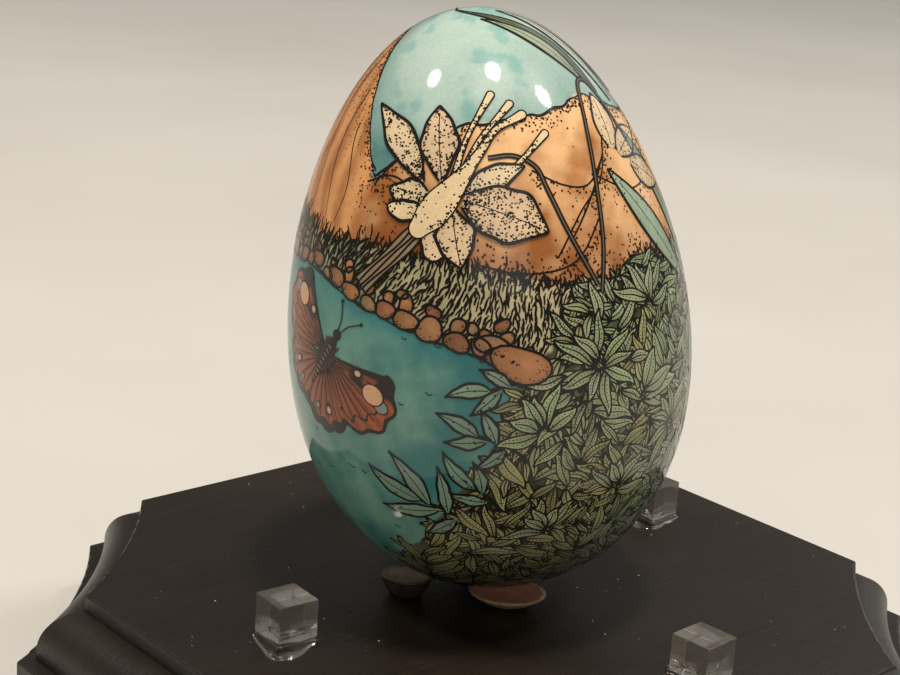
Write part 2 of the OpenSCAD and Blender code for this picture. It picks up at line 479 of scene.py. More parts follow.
def egg_mesh():
    """The painted shell: rings from the blow hole to the pointed end."""
    ns, na = 236, 360
    s = np.concatenate([[HOLE_R], np.linspace(HOLE_R + 0.4, S_MAX - 0.25, ns - 1)])
    a = np.arange(na) * TAU / na - math.pi
    ss, pp = np.meshgrid(s, a, indexing="ij")
    p, n = surface(pp.ravel(), ss.ravel())
    top, ntop = surface(np.array([0.0]), np.array([S_MAX]))
    # a short lip turned into the blow hole
    lip = surface(a, np.full(na, HOLE_R * 0.99), -0.5)[0]
    pts = np.vstack([p, top, lip])
    nrm = np.vstack([n, ntop, np.tile(TURN @ np.array([0, 0, -1.0]), (na, 1))])
    faces = wall_faces(ns, na)
    last, apex, l0 = (ns - 1) * na, ns * na, ns * na + 1
    faces += [[last + k, last + (k + 1) % na, apex] for k in range(na)]
    faces += [[l0 + k, l0 + (k + 1) % na, (k + 1) % na, k] for k in range(na)]
    phi = np.concatenate([pp.ravel(), [0], a])
    s = np.concatenate([ss.ravel(), [S_MAX], np.full(na, HOLE_R)])
    col = washes(phi, s, pts)
    o = make_mesh("egg_painted_shell", pts, faces, PAINT, "egg", col, nrm)
    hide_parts("egg_shell")


egg_mesh()
fill, ink = Art(), Art()
leaf_fill, leaf_ink = Art(), Art()

# ---- leaves that overlap in thin layers
CELL = 0.2                         # mm, in a flat map that counts the leaves lying at each place
MAP_W, MAP_H = 190, 116
NX, NY = int(MAP_W / CELL), int(MAP_H / CELL)
LAYERS, STEP = 9, 0.008
height = np.zeros((NX, NY), np.int8)


def cells(ps):
    """The map's cells under (phi, s) points."""
    phi = (ps[:, 0] + math.pi) % TAU - math.pi
    x = phi * radius(ps[:, 1]) + MAP_W / 2
    i, j = (x / CELL).astype(int), (ps[:, 1] / CELL).astype(int)
    return np.clip(i, 0, NX - 1), np.clip(j, 0, NY - 1)


def leaf(c, angle, length, width, bend, col, dots=0, line=0.21, cover=0.75, most=LAYERS):
    """One lance-shaped leaf drawn over what lies there already, or none where too much does."""
    n = 5 if length < 2.4 else (7 if length < 5 else 10)
    t = np.linspace(0, 1, n)
    a = angle + bend * (t - 0.5) + 0.30 * math.copysign(1, bend) * np.sin(TAU * t)
    way = polar(a)
    mid = way.cumsum(0) * length / n
    mid -= mid.mean(0)
    nrm = polar(a + math.pi / 2)
    w = width / 2 * np.sin(math.pi * t ** 0.85)
    steps, fine = np.arange(n), np.linspace(0, n - 1, 2 * n)
    reach = np.interp(fine, steps, w)[:, None] * np.linspace(-1, 1, 5)
    body = sample(fine, steps, mid)[:, None] + sample(fine, steps, nrm)[:, None] * reach[:, :, None]
    ix, iy = cells(at(c, body.reshape(-1, 2)))
    under = height[ix, iy]
    if under.max() >= most or (under > 0).mean() > cover:
        return
    k = under.max() + 1
    height[ix, iy] = k
    off = 0.012 + STEP * k
    tip = mid + way * ((t - 0.5) * 2 * line * 1.6)[:, None]
    rim = [at(c, tip + nrm * (v * (w + line))[:, None]) for v in (-1, 0, 1)]
    leaf_ink.grid(np.stack(rim, 1), off, INK)
    blade = [at(c, mid + nrm * (v * w)[:, None]) for v in (-1, 0, 1)]
    shade = np.clip(np.array(col) * (0.72 + 0.42 * t)[:, None], 0, 1)
    leaf_fill.grid(np.stack(blade, 1), off + 0.003, shade[:, None] * np.array([0.88, 1.0, 1.08])[:, None])
    leaf_ink.ribbon(at(c, mid[:-1]), line * np.linspace(1.1, 0.6, n - 1), off + 0.005)
    for v in np.linspace(0.16, 0.80, dots):
        m, q = sample(v, t, mid), sample(v, t, nrm) * float(np.interp(v, t, w))
        for side in (-1, 1):
            p = at(c, m + side * q * rng.uniform(0.40, 0.62))[0]
            leaf_ink.dot(p, rng.uniform(0.08, 0.13), off + COAT, n=5)


def leaf_tone(d, s):
    """The foliage's wash: olive near the grass, bluer green at the right, with painted shade that darkens it
    low down.
    """
    p = surface(deg(d), s)[0]
    drift = 0.5 * float(noise(p[None], 15, 31, 2)[0])
    right = np.clip((d - 14) / 40 + drift, 0, 1) if -30 < d < 120 else 0.6
    # painted shade: the foliage gets darker towards the egg's bottom
    low = np.clip((34 - s) / 18, 0, 1)
    c = np.array((0.43, 0.39, 0.17)) * (1 - right) + np.array((0.35, 0.42, 0.24)) * right
    c = c * (1 - low) + np.array((0.145, 0.16, 0.085)) * low
    if rng.random() < 0.12:
        c = c * 0.7
    return tint(c, 0.07)


def sprig_of_leaves(c, angle, length, size, pairs, most):
    """A bending stalk with leaves in pairs and one at its end."""
    bend = rng.uniform(-0.7, 0.7)
    t = np.linspace(0, 1, pairs + 1)
    a = angle + bend * t
    path = np.vstack([[0, 0], (polar(a) * length / pairs).cumsum(0)[:-1]])
    for i, (p, ang) in enumerate(zip(path, a)):
        k = size * (1.15 - 0.5 * t[i])
        for side in ((-1, 1) if i < pairs else (0,)):
            la = ang + side * rng.uniform(0.55, 1.0)
            place = at(c, p + polar(la, 0.5 * k))[0]
            d, s = math.degrees(place[0]), float(place[1])
            if s > 1.5 and zone(place[0], place[1]) == 4:
                leaf((d, s), la, k * rng.uniform(0.85, 1.2), k * rng.uniform(0.17, 0.26),
                     rng.uniform(-1.1, 1.1), leaf_tone(d, s), dots=0 if k < 5 else 8, most=most)


def whorl(c, rings, start, spread):
    """A loose tuft: uneven leaves round one point, in rings of (count, reach, length, width)."""
    for k, (count, reach, length, width) in enumerate(rings[::-1]):
        for i in range(count):
            ang = start + spread * (i + 0.5 * (k % 2) + rng.uniform(-0.45, 0.45)) / count
            size = length * rng.uniform(0.65, 1.25)
            r = reach + (size - length) / 2
            p = at(c, polar(ang, r))[0]
            leaf((math.degrees(p[0]), p[1]), ang + rng.normal(0, 0.15), size,
                 width * rng.uniform(0.75, 1.15), rng.uniform(-1.0, 1.0), tint((0.39, 0.44, 0.25), 0.08),
                 dots=8, line=0.24, cover=1.0, most=LAYERS + 3)


# ---- motifs
def petal(c, base, angle, length, width, off, col, bend=0.0, vein=True, speckle=0, line=0.36,
          belly=0.9, tip=0.9, shade=0.75, wave=0.0):
    """A petal or a blade: a painted patch with inked edges, a midrib and stipple."""
    n, m = 27, 9
    t = np.linspace(0, 1, n)
    ang = angle + bend * (t - 0.3)
    step = polar(ang) * length / (n - 1)
    mid = np.array(base) + np.vstack([[0, 0], np.cumsum(step[:-1], 0)])
    w = width / 2 * np.sin(math.pi * (0.06 + 0.94 * t) ** belly) ** tip
    w = w * (1 + wave * np.sin(t * 17 + base[0]) + wave * np.sin(t * 9 + base[1] * 3))
    side = polar(ang + math.pi / 2) * w[:, None]
    a, b = mid + side, mid - side
    u = np.linspace(0, 1, m)[None, :, None]
    round_off = shade + (1 - shade) * np.sin(math.pi * np.linspace(0.1, 0.9, m))
    tone = np.array(col) * (np.linspace(0.82, 1.05, n)[:, None] * round_off)[:, :, None]
    fill.grid(at(c, a[:, None] * (1 - u) + b[:, None] * u), off, np.clip(tone, 0, 1))
    for e in (a, b):
        ink.ribbon(at(c, e), line * (0.75 + 0.4 * np.sin(math.pi * t)), off + COAT)
    if vein:
        ink.ribbon(at(c, mid[1:-3]), 0.14, off + COAT)
    for _ in range(speckle):
        x = 0.6 + (n - 2.2) * rng.random() ** 1.3
        if rng.random() < 0.35:
            f = rng.normal(0, 0.22)
        else:
            f = rng.choice([-1, 1]) * (0.9 - min(0.8, rng.exponential(0.25)))
        spot, edge = sample(x, np.arange(n), mid), sample(x, np.arange(n), a)
        p = at(c, spot + (edge - spot) * f + rng.normal(0, 0.10, 2))[0]
        ink.dot(p, rng.uniform(0.10, 0.18), off + SPECK)


def tube(c, pts, widths, off, col, spots):
    """A round-ended tube along a curve: an ink shape under a painted one, dotted down its sides."""
    q = spline(pts, 26)
    w = np.interp(np.linspace(0, 1, len(q)), np.linspace(0, 1, len(widths)), widths)
    for art, grow, lift, tone in ((ink, 0.23, 0.0, INK), (fill, 0.0, 0.005, col)):
        art.ribbon(at(c, q), w + 2 * grow, off + lift, tone, cols=7)
        for e, r in ((q[0], w[0]), (q[-1], w[-1])):
            art.dot(at(c, e)[0], r / 2 + grow, off + lift, tone, n=20)
    nrm = across(q)
    for _ in range(spots):
        x = rng.uniform(1, len(q) - 3)
        i, u = int(x), x % 1
        here = q[i] * (1 - u) + q[i + 1] * u
        side = rng.choice([1, 1, -1]) * (0.5 - min(0.5, rng.exponential(0.12)))
        ink.dot(at(c, here - nrm[i] * side * w[i])[0], rng.uniform(0.10, 0.18), off + SPECK)


SPURS = (((1.5, 2.5), (3.2, 9.0), (5.9, 15.2)),
         ((2.2, 2.5), (4.8, 8.5), (8.6, 13.6)),
         ((4.0, 1.5), (9.5, 4.5), (13.9, 8.8)))
THROAT = ((-2.7, -2.9), (-0.3, -0.2), (2.6, 3.4), (5.2, 7.2), (7.0, 10.0), (10.4, 11.8))
# base, direction in degrees, length, width, bend, dots, belly, tip
PETALS = (((3.4, 1.6), 24, 8.4, 3.6, -0.25, 40, 1.0, 1.0),
          ((-2.4, 3.2), 122, 13.4, 4.2, 0.30, 95, 1.1, 1.05),
          ((0.2, 3.4), 96, 10.6, 5.0, -0.10, 80, 1.15, 0.95),
          ((-1.6, 1.2), 172, 5.8, 4.4, -0.5, 45, 0.8, 0.85),
          ((-2.0, -0.2), 186, 5.6, 2.8, -0.9, 14, 1.2, 0.7),
          ((3.2, 0.6), -22, 12.6, 7.0, -0.20, 190, 0.95, 0.95),
          ((-0.2, -2.4), -96, 5.0, 3.8, 0.2, 16, 1.2, 0.6),
          ((1.8, -0.6), -82, 7.8, 5.0, 0.15, 46, 1.05, 0.95))


def flower(c, k, turn, off, col=CREAM):
    """A nodding spurred wild flower: a smooth tube, slim spurs behind it and speckled petals."""
    pale = tuple(np.array(col) * (0.98, 1.0, 0.95))
    for pts in SPURS:
        widths = np.array([1.1, 0.55, 0.42, 0.45, 0.85]) * k
        tube(c, k * turned(pts, turn), widths, off, tint(pale, 0.05), int(60 * k))
    for base, ang, length, width, bend, spots, belly, tip in PETALS:
        off += 0.012
        petal(c, k * turned(base, turn), deg(ang) + turn, length * k, width * k, off, tint(col, 0.07),
              bend, vein=width > 4.5, speckle=int(2.4 * spots * k), line=0.42, belly=belly, tip=tip,
              wave=0.05)
    widths = np.array([2.6, 4.1, 4.1, 2.6, 1.3, 0.85, 0.68, 0.66, 1.05]) * k
    tube(c, k * turned(THROAT, turn), widths, off + 0.014, pale, int(130 * k))


def stalk(c, pts, off, strands=5, width=2.4):
    """A stalk drawn as strands side by side."""
    q = spline(pts, 30)
    nrm = across(q)
    fill.ribbon(at(c, q), width, off, (0.34, 0.24, 0.14))
    for k in np.linspace(-0.5, 0.5, strands):
        wob = 0.10 * np.sin(np.linspace(0, 9, len(q)) + k * 9)
        ink.ribbon(at(c, q + nrm * (k * width + wob)[:, None]), 0.30, off + COAT)


def stem(c, pts, off):
    """A slim dark stem with a lighter line down it."""
    q, width = spline(pts, 40), 0.75
    ink.ribbon(at(c, q), width, off)
    fill.ribbon(at(c, q), width * 0.26, off + COAT, (0.16, 0.12, 0.08))


def stone(c, rx, ry, turn, col, off=0.050):
    """A stone, dark towards its edge, with an ink outline and dots on its lower side."""
    n = 20
    t = np.arange(n) * TAU / n
    wob = 1 + 0.10 * np.sin(2 * t + rng.uniform(0, 6)) + 0.06 * np.sin(3 * t + rng.uniform(0, 6))
    xy = turned(polar(t, wob) * (rx, ry), turn)
    rings = np.stack([at(c, xy * k) for k in (0.0, 0.45, 0.8, 1.0)], 0)
    rings = np.concatenate([rings, rings[:, :1]], 1)
    shade = np.array([1.12, 1.06, 0.95, 0.62])[:, None, None]
    side = (1 + 0.14 * np.sin(t + 1.0))[None, np.r_[0:n, 0], None]
    fill.grid(rings, off, np.clip(np.array(col) * shade * side, 0, 1))
    ink.ribbon(at(c, np.vstack([xy, xy[:1]])), 0.34, off + COAT, closed=True)
    for _ in range(int(8 * rx)):
        a, k = rng.uniform(math.pi * 0.9, TAU * 1.05), rng.uniform(0.55, 0.97)
        p = at(c, turned(polar(a, k) * (rx, ry), turn))[0]
        ink.dot(p, rng.uniform(0.07, 0.12), off + SPECK)


def wing(c, hinge, a0, a1, reach, off, col, border, veins, spots, bars):
    """One wing: a fan round its hinge, from angle a0 (u = 0) to a1 (u = 1), out to reach(u).

    Dark bars are (u from, u to, k from, k to) and spots (u, k, size, colour), where k is 0 at the
    hinge and 1 at the wing's edge.
    """
    dark = (0.018, 0.010, 0.007)
    n, m = 40, 16
    u, k = np.linspace(0, 1, n), np.linspace(0.02, 1, m)
    ang = a0 + (a1 - a0) * u
    r = reach(u)
    ray = polar(ang, r)
    tone = np.array(col) * (0.50 + 0.6 * k)[None, :, None] * (1 + 0.28 * np.sin(u * 45))[:, None, None]
    for lo, hi, k0, k1 in bars:
        inside = ((u >= lo) & (u <= hi))[:, None] & ((k >= k0) & (k <= k1))[None]
        tone = np.where(inside[:, :, None], np.array(dark), tone)
    fill.grid(at(c, hinge + ray[:, None] * k[:, None]), off, np.clip(tone, 0, 1))
    rim = np.stack([np.clip(border + 0.04 * np.sin(u * 31), 0, 1), np.ones(n)], 1)
    ink.grid(at(c, hinge + ray[:, None] * rim[:, :, None]), off + 0.008, dark)
    ink.ribbon(at(c, np.vstack([[hinge], hinge + ray, [hinge]])), 0.42, off + 0.010, dark)
    for v in np.linspace(0.04, 0.96, veins):
        va, vr = a0 + (a1 - a0) * v, float(np.interp(v, u, r))
        way = np.array([math.cos(va + 0.03), math.sin(va)])
        q = hinge + (vr * np.linspace(0.08, border + 0.05, 6))[:, None] * way
        ink.ribbon(at(c, q), 0.26 * np.linspace(1.0, 0.6, 6), off + 0.012, dark)
    for step, (v, far, size, tone) in enumerate(spots):
        lift = off + 0.014 + 0.012 * step
        va, vr = a0 + (a1 - a0) * v, float(np.interp(v, u, r))
        p = at(c, hinge + polar(va, vr * far))[0]
        place = (math.degrees(p[0]), p[1])
        ink.disc(place, size + 0.22, lift, dark, n=16, squash=0.8, turn=va)
        fill.disc(place, size, lift + COAT, tone, n=16, squash=0.8, turn=va)


def butterfly(c, turn, k, off, col=(0.36, 0.085, 0.026)):
    """A butterfly with spread wings, its head up before it is turned."""
    rot = lambda x, y: k * turned((x, y), turn)
    cream, slate = (0.80, 0.44, 0.23), (0.28, 0.31, 0.24)
    fore = lambda u: k * (9.2 + 3.4 * np.sin(u * 2.8 + 0.35) + 0.30 * np.sin(u * 25))
    hind = lambda u: k * (7.6 + 1.8 * np.sin(u * 3.1) + 0.55 * np.abs(np.sin(u * 15)))
    for side in (1, -1):
        f0, f1, h0, h1 = (28, -38, -12, -98) if side > 0 else (152, 218, 192, 278)
        wing(c, rot(side * 0.4, -0.6), deg(h0) + turn, deg(h1) + turn, hind, off, tint(col, 0.05), 0.86, 7,
             spots=((0.45, 0.70, 0.5 * k, cream), (0.70, 0.72, 0.45 * k, slate)),
             bars=((0.40, 0.52, 0.55, 0.8),))
        wing(c, rot(side * 0.4, 0.8), deg(f0) + turn, deg(f1) + turn, fore, off + 0.03, tint(col, 0.05),
             0.80, 8, spots=((0.36, 0.84, 1.00 * k, slate), (0.30, 0.70, 1.60 * k, cream),
                             (0.13, 0.50, 0.50 * k, cream)),
             bars=((0.0, 0.10, 0.0, 1.0), (0.0, 0.34, 0.38, 0.60), (0.0, 0.24, 0.80, 1.0)))
    # fur, body, its rings, head and feelers
    ink.disc(c, 2.5 * k, off + 0.062, (0.030, 0.014, 0.008), n=24, squash=0.62, turn=turn + deg(90))
    for _ in range(60):
        a, r = rng.uniform(0, TAU), rng.uniform(1.0, 1.7)
        root, hair = rot(r * math.cos(a), 1.4 * r * math.sin(a)), rot(0.9 * math.cos(a), 1.1 * math.sin(a))
        ink.stroke(c, [root, root + hair], 0.22, off + 0.066, (0.05, 0.022, 0.012), n=8)
    body = spline([rot(0, 3.6), rot(0.2, 1.2), rot(0.0, -1.5), rot(-0.2, -5.4)], 16)
    widths = np.interp(np.linspace(0, 1, 16), [0, 0.12, 0.35, 0.5, 1], [0.5, 1.3, 1.7, 1.0, 0.5])
    ink.ribbon(at(c, body), k * widths, off + 0.075)
    for y in np.linspace(1.8, -4.4, 9):
        band = np.linspace(rot(-0.32, y), rot(0.32, y - 0.1), 3)
        fill.ribbon(at(c, band), 0.16 * k, off + 0.083, (0.45, 0.26, 0.12))
    x, y = rot(0, 4.0)
    ink.disc((c[0] + math.degrees(x / radius(c[1])), c[1] + y), 0.75 * k, off + 0.08, n=14)
    for side in (-1, 1):
        feeler = spline([rot(side * 0.2, 4.3), rot(side * 0.8, 6.2), rot(side * 2.2, 8.0)], 12)
        ink.ribbon(at(c, feeler), 0.2, off + 0.07)
        ink.dot(at(c, feeler[-1])[0], 0.28 * k, off + 0.075, n=8)


def sprig(c, angle, leaves, off=0.05):
    """Slim leaves (turn in degrees, length, width) set one behind another along a stalk."""
    back = -polar(angle)
    side = np.array([-back[1], back[0]])
    reach = 1.7 * len(leaves)
    line = spline([-back * 0.5, back * reach * 0.5 + side * 0.5, back * reach], 12)
    ink.ribbon(at(c, line), 0.55, off + 0.001)
    for i, (turn, length, width) in enumerate(sorted(leaves, key=lambda v: abs(v[0]))):
        a = angle + deg(turn)
        base = back * 1.35 * i + polar(a, 0.3)
        petal(c, base, a, length, width, off, tint((0.24, 0.36, 0.26), 0.10),
              -0.45 * np.sign(turn) + rng.uniform(-0.25, 0.25), speckle=7, line=0.34, belly=0.80,
              tip=1.35, shade=0.9, wave=0.06)
        off += 0.012


# the butterfly over the water and the flower over the hills
butterfly((-50, 57.5), deg(-38), 1.05, 0.06)
flower((-13, 79), 1.0, 0.0, 0.12)
stalk((-13, 79), [(-2.2, -2.6), (-6.0, -6.2), (-11.5, -10.8)], 0.11)

# slim dark stems and pale petals on the right
stem((10, 78), [(-2.6, 7.2), (0.8, 7.2), (3.6, 5.4), (4.9, 2.0), (7.2, -4.0), (10.8, -11.5)], 0.10)
stem((40, 80), [(-3.5, -14.5), (-1.6, -8.0), (0.0, 0.0), (2.0, 8.0), (4.2, 13.8), (6.4, 14.2), (8.4, 10.2),
                (10.4, 4.0)], 0.10)
ink.stroke((22, 76), [(2.0, -3.0), (6.0, 2.0), (10.5, 8.2)], 0.30, 0.06)
petal((54, 84), (0, 0), deg(75), 8.5, 4.4, 0.06, CREAM, 0.3, speckle=30)
petal((54, 84), (1.2, -1.0), deg(20), 8.0, 4.2, 0.075, CREAM, -0.4, speckle=30)
petal((60, 82), (1.0, -0.5), deg(-35), 8.5, 4.6, 0.09, tint(CREAM), 0.3, speckle=40)

# long pale blades on the right, and the ones that come over the crown
petal((73, 64), (0, 0), deg(124), 20.5, 4.4, 0.11, (0.40, 0.52, 0.36), -0.25, speckle=26, line=0.42,
      belly=1.0)
petal((76, 66), (2, 0), deg(104), 22, 3.4, 0.08, (0.28, 0.38, 0.27), 0.2, line=0.42, belly=1.0)
for dx, dy, length, tone in ((0, 0.0, 21.5, (0.13, 0.16, 0.09)), (3.4, -2.0, 21, (0.62, 0.68, 0.56)),
                             (6.4, -1.0, 20, (0.30, 0.16, 0.07)), (-1.6, 3.0, 14, (0.40, 0.46, 0.33))):
    petal((68, 92), (dx - 1, dy), deg(99 - dx), length, 2.6, 0.09 + 0.01 * abs(dx), tone, 0.30, line=0.40,
          belly=1.0)

# sprays of leaves over the water
sprig((-22, 38), deg(148), [(4, 9.0, 2.5), (36, 8.6, 2.3), (-30, 9.4, 2.4), (-58, 7.6, 2.0), (66, 6.0, 2.0)])
sprig((-4, 48), deg(150), [(-5, 6.4, 2.2), (32, 5.8, 1.9), (-42, 5.4, 1.9), (66, 5.0, 1.8)])
sprig((-6, 40.0), deg(128), [(2, 7.0, 2.2), (40, 5.6, 1.8), (-34, 5.4, 1.8)])
sprig((0, 54.3), deg(186), [(-6, 6.2, 2.1), (34, 5.4, 1.9), (-42, 4.8, 1.8)])
sprig((-132, 30), deg(50), [(-30, 10, 2.2), (0, 11, 2.2), (30, 9, 2.0), (-60, 8, 2.0)])
sprig((-146, 46), deg(20), [(-25, 9, 2.0), (5, 10, 2.1), (40, 8, 1.8)])

# a second, smaller flower and butterfly on the far side
flower((158, 79), 0.8, 0.35, 0.12, (0.80, 0.62, 0.62))
stalk((158, 79), [(-1.8, -2.2), (-4.0, -8.0), (-5.0, -16.0)], 0.11, 4, 1.8)
butterfly((-112, 44), deg(28), 0.8, 0.06, (0.10, 0.20, 0.34))
stem((128, 74), [(-3, -14), (-1, -4), (2, 6), (5, 14), (8, 16), (10, 11)], 0.10)
for c, a, length, width, off, tone, bend in (
        ((100, 67), 76, 20, 3.6, 0.10, (0.38, 0.46, 0.30), 0.3),
        ((104, 66), 100, 17, 3.2, 0.08, (0.26, 0.36, 0.27), -0.3),
        ((-160, 62), 84, 22, 3.4, 0.10, (0.38, 0.46, 0.30), -0.3),
        ((-164, 62), 112, 17, 3.2, 0.08, (0.28, 0.36, 0.24), 0.3)):
    petal(c, (0, 0), deg(a), length, width, off, tone, bend, line=0.42, belly=1.0)

# ---- stones along the bank
d = -168.0
while d < 12:
    s0 = BANK(deg(d))
    size = rng.uniform(0.95, 1.55) * (1 + 0.5 * min(max((d + 60) / 70, 0), 1))
    slope = math.atan2(BANK(deg(d + 2)) - BANK(deg(d - 2)), deg(4) * radius(s0))
    place = (d, s0 + 0.55 + rng.uniform(-0.35, 0.35))
    stone(place, size, size * rng.uniform(0.62, 0.85), slope + rng.uniform(-0.3, 0.3), tint(STONE, 0.22))
    for row, chance in ((1.25, 0.9), (2.0, 0.45)):
        if rng.random() > chance:
            continue
        place = (d + rng.uniform(-2.2, 2.2), s0 + 0.4 + row * size + rng.uniform(-0.2, 0.2))
        k = size * rng.uniform(0.45, 0.75)
        stone(place, k, k * 0.8, rng.uniform(0, 3), tint(STONE, 0.28), 0.040)
    d += math.degrees(size * 1.85 / radius(s0))
stone((8.0, 57.5), 3.9, 2.6, deg(-22), (0.46, 0.20, 0.085), 0.066)
stone((1.0, 60.4), 2.3, 1.4, deg(-15), tint((0.34, 0.19, 0.09)), 0.055)


# ---- dense foliage, then grass
def flow(d, s):
    """The way that the foliage leans at a place."""
    p = surface(deg(d), s)[0]
    return deg(60) + 1.5 * float(noise(p[None], 26, 8, 1)[0])


def seeds(count, s_lo, s_hi):
    """Even random places (degrees, s) inside the foliage."""
    s = s_lo + (s_hi - s_lo) * rng.random(count)
    phi = (rng.random(count) * 2 - 1) * math.pi
    keep = (rng.random(count) < radius(s) / (EGG_B / 2)) & (zone(phi, s) == 4)
    return zip(np.degrees(phi[keep]), s[keep])


for d, s in seeds(5200, 2, 72):
    leaf((d, s), flow(d, s) + rng.normal(0, 0.7), rng.uniform(2.9, 4.9), rng.uniform(0.75, 1.10),
         rng.uniform(-1.0, 1.0), leaf_tone(d, s), cover=0.45, most=3)
for d, s in seeds(620, 2, 70):
    sprig_of_leaves((d, s), flow(d, s) + rng.normal(0, 0.5), rng.uniform(8, 13), rng.uniform(4.8, 7.2), 4, 7)
for d, s in seeds(160, 3, 70):
    sprig_of_leaves((d, s), flow(d, s) + rng.normal(0, 0.7), rng.uniform(5.5, 8), rng.uniform(3.2, 4.6), 3, 8)
for place, rings, start, spread in (
        ((29.5, 56), [(9, 3.7, 6.6, 1.6), (9, 7.8, 5.4, 1.4)], 0.2, TAU),
        ((43, 51), [(5, 4.2, 7.8, 2.6)], -0.6, 2.2),
        ((13, 48), [(6, 3.2, 5.6, 1.6)], 0.7, 3.2),
        ((36, 37), [(6, 3.4, 6.2, 1.5)], -0.3, 3.4),
        ((15, 32), [(6, 3.0, 5.4, 1.5)], 0.9, 3.0),
        ((50, 62), [(6, 3.6, 6.4, 1.5)], 0.3, 3.0),
        ((58, 44), [(7, 3.6, 6.4, 1.5)], 0.4, 4.0),
        ((92, 54), [(8, 3.8, 6.6, 1.6)], 0.0, 5.0),
        ((120, 44), [(7, 3.4, 6.0, 1.5)], 0.3, 4.0),
        ((148, 56), [(8, 3.8, 6.4, 1.6)], 0.9, 5.0),
        ((172, 40), [(7, 3.4, 6.0, 1.5)], 0.2, 3.6),
        ((100, 30), [(6, 3.0, 5.2, 1.4)], 0.5, 3.6),
        ((78, 36), [(6, 3.2, 5.8, 1.5)], 0.4, 3.4)):
    whorl(place, rings, start, spread)


def grass(place, a, length, bend, width, n):
    """One blade of grass: a bent stroke."""
    line = [(0, 0), polar(a, length / 2), polar(a + bend, length)]
    ink.stroke(place, line, width, 0.034, n=n)


for row in np.arange(53, 78, 0.80):
    for x in np.arange(-92, 92, 0.66):
        s = row + rng.uniform(-0.4, 0.4)
        phi = (x + rng.uniform(-0.26, 0.26)) / radius(s)
        if abs(phi) > math.pi or zone(phi, s) != 2:
            continue
        d = math.degrees(phi)
        a = deg(64) + 0.35 * math.sin(d * 0.11 + s * 0.3) + rng.normal(0, 0.17)
        length = rng.uniform(0.9, 1.9) * (1.5 if d < -30 else 1.0)
        grass((d, s), a, length, rng.uniform(-0.25, 0.25), rng.uniform(0.22, 0.34), 5)


# ---- ridge lines, stipple, tufts and ripples
def along(f, a, b, n, wobble=0.35, seed=5):
    """n points of a smoothed and wobbling line s = f(phi), from a to b degrees."""
    phi = np.radians(np.linspace(a, b, n))
    s = np.convolve(np.pad(f(phi), 6, mode="edge"), np.ones(13) / 13, mode="valid")
    p = surface(phi, s)[0]
    return np.stack([phi, s + wobble * noise(p, 7, seed, 2)], 1)


for a, b in ((-180, -120), (-120, -38), (-38, 20), (20, 100), (100, 180)):
    q = along(RIDGE, a, b, 90)
    ink.ribbon(q, 0.34 + 0.12 * np.sin(np.linspace(0, 12, 90)), 0.03)
    for k in range(int(abs(b - a) * 3.2)):
        i = rng.integers(0, 90)
        drop = rng.exponential(0.9)
        place = (math.degrees(q[i, 0]) + rng.normal(0, 0.5), q[i, 1] - 0.2 - drop)
        ink.disc(place, rng.uniform(0.09, 0.19), 0.032, n=6)
# inner hill contours with stipple under them
for c, pts, count in (
        ((25, 76), [(-3, 7), (1, 4.5), (5, 4.0), (9, 7.5)], 40),
        ((38, 75), [(-8, -4), (-3, 1.5), (2, 5.5), (5, 11)], 60),
        ((20, 72), [(-10, -1), (-4, -2.6), (3, -1.8), (8, 3.5)], 90),
        ((-28, 76), [(-5, 6), (-1, 7), (3, 5)], 24),
        ((-22, 80), [(-6, 2), (-3, 5), (0, 6)], 20),
        ((50, 76), [(-4, 5), (2, 2), (8, 3), (12, 7)], 40),
        ((110, 82), [(-14, 2), (-6, 6), (2, 3), (12, 7)], 90),
        ((150, 84), [(-12, 3), (-2, 7), (8, 4), (16, 8)], 90),
        ((-165, 80), [(-12, 2), (-4, 5), (6, 4), (14, 9)], 80),
        ((-140, 84), [(-12, 2), (-2, 8), (8, 5)], 60)):
    q = spline(pts, 26)
    ink.ribbon(at(c, q), 0.26, 0.03)
    for _ in range(int(count * 1.8)):
        i = rng.integers(0, 26)
        p = at(c, q[i] + [rng.normal(0, 0.5), -rng.exponential(1.2) - 0.2])[0]
        ink.dot(p, rng.uniform(0.10, 0.19), 0.031)
# speckle and streaks down the cliff
for _ in range(46):
    d = rng.uniform(-118, -42)
    hi = RIDGE(deg(d)) - rng.uniform(1, 6)
    phi = np.radians(d + np.cumsum(rng.normal(0, 0.35, 9)))
    q = np.stack([phi, np.linspace(hi, hi - rng.uniform(3, 9), 9)], 1)
    if q[-1, 1] > GRASS(q[-1, 0]) + 1:
        for p in q:
            if rng.random() < 0.8:
                ink.dot(p, rng.uniform(0.08, 0.15), 0.030, (0.10, 0.05, 0.02))
for d, s, length in ((-52, 90, 14), (-60, 95, 20), (-72, 99, 22), (-86, 101, 24), (-99, 101, 22)):
    n = 16
    q = np.stack([np.radians(d + 2.4 * np.sin(np.linspace(0, 5, n) + d)), np.linspace(s, s - length, n)], 1)
    ink.ribbon(q, np.linspace(0.26, 0.10, n), 0.03, (0.05, 0.028, 0.012))
# tufts over the grass line
for _ in range(520):
    d = rng.uniform(-180, 180)
    s = GRASS(deg(d)) + rng.normal(-0.5, 0.6)
    a = deg(76 + rng.normal(0, 22))
    grass((d, s), a, rng.uniform(0.8, 2.1), 0.2, 0.26, 6)
# ripples on the water and a dark line under the bank
for _ in range(100):
    d, s = rng.uniform(-165, 0), rng.uniform(14, 64)
    if int(zone(np.array(deg(d)), np.array(s))) == 3:
        x = rng.uniform(0.5, 1.9)
        ripple = [(0, 0), (x * 0.5, -0.30 - 0.1 * x), (x, -0.28 * x)]
        ink.stroke((d, s), ripple, 0.20, 0.03, (0.02, 0.06, 0.05), n=6)
q = along(BANK, -168, 6, 130, 0.3, 9)
q[:, 1] -= 0.55
ink.ribbon(q, 0.42 + 0.18 * np.sin(np.linspace(0, 60, 130)), 0.036)
